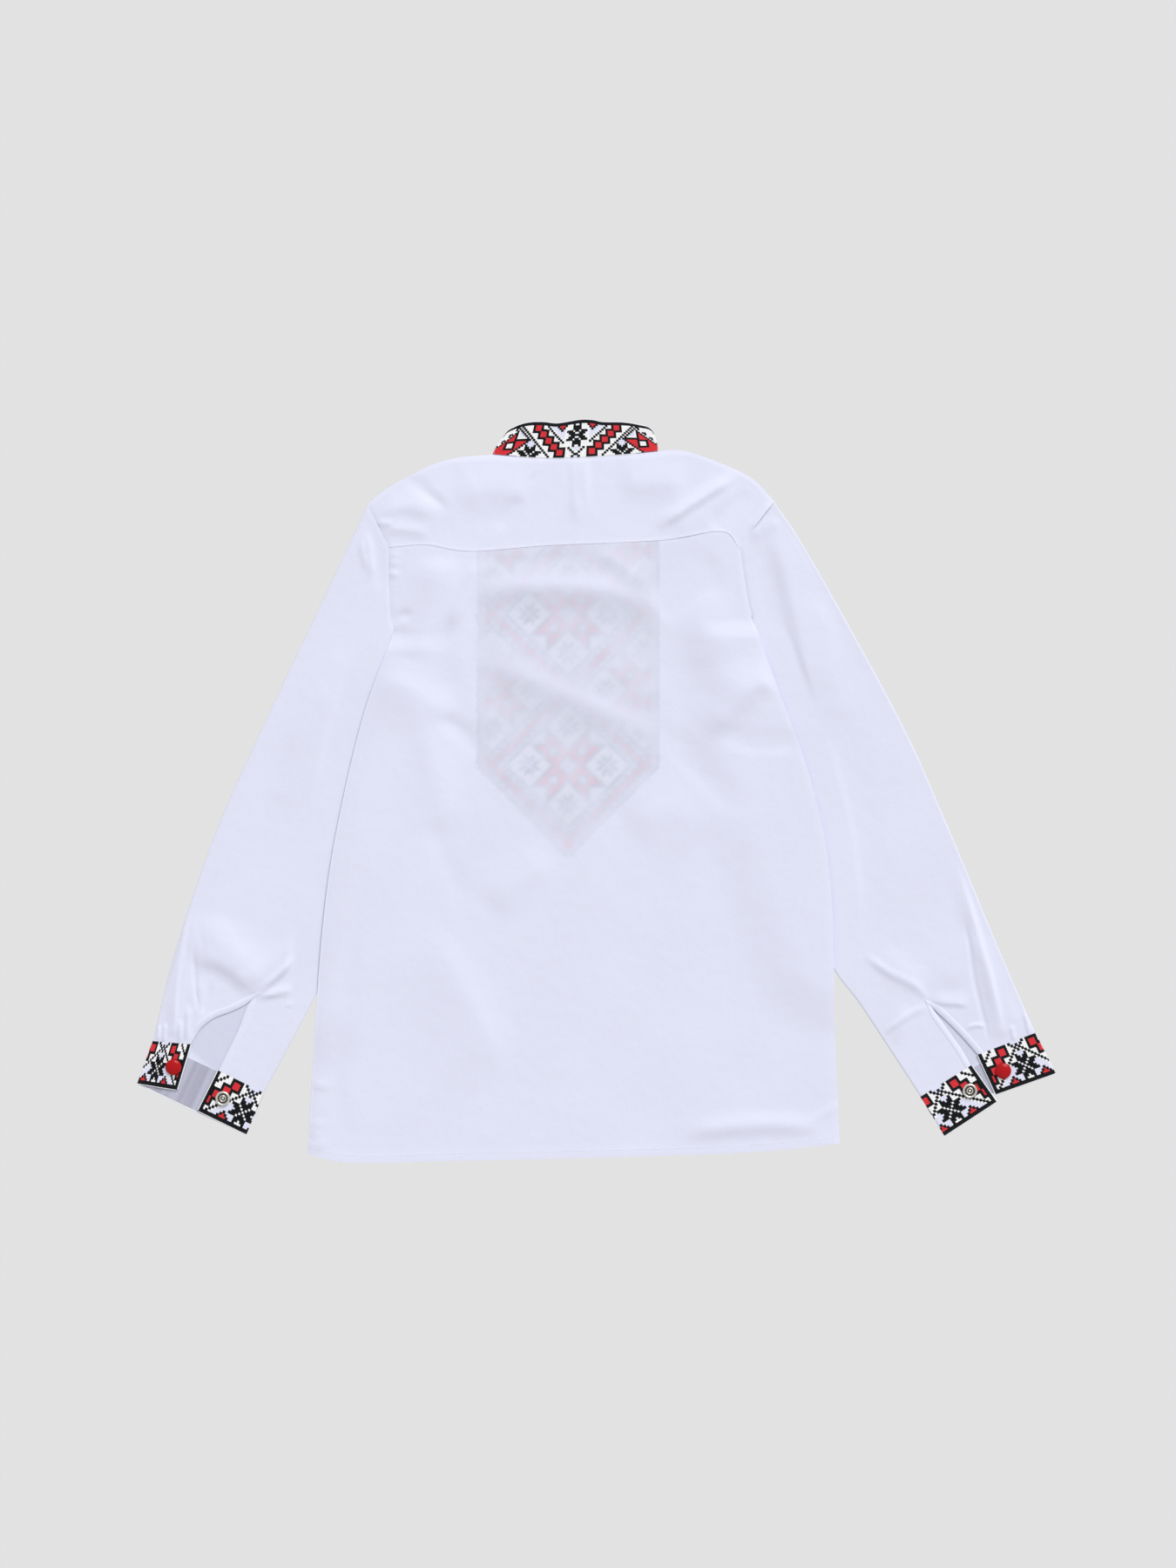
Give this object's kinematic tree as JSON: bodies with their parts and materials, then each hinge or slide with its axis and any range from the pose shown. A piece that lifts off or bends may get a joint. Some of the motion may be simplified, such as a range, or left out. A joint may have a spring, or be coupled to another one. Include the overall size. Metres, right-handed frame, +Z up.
{
  "type": "vyshyvanka shirt",
  "caption": "Child's white cotton shirt laid on its front, with an embroidered stand collar, long sleeves and embroidered cuffs lying open at their snaps.",
  "frame": {"origin": "middle of the shirt's outline, on the surface it lies on", "axes": "+X to the right seen from above with the collar away, +Y from the hem to the collar, +Z up from the surface"},
  "size_m": [0.717, 0.5798, 0.0077],
  "materials": {
    "cotton": "matte",
    "embroidered_cotton": "matte",
    "red_cap": "gloss",
    "snap_metal": "satin"
  },
  "bodies": {
    "root": {"front_panel": "cotton", "back_panel": "cotton", "back_yoke": "cotton", "sleeve_left": "cotton", "sleeve_right": "cotton", "slit_binding_left": "cotton", "slit_binding_right": "cotton", "cuff_left": "embroidered_cotton", "cuff_right": "embroidered_cotton", "collar": "embroidered_cotton", "snap_cap_left": "red_cap", "snap_cap_right": "red_cap", "snap_ring_left": "snap_metal", "snap_ring_right": "snap_metal"}
  },
  "joints": []
}
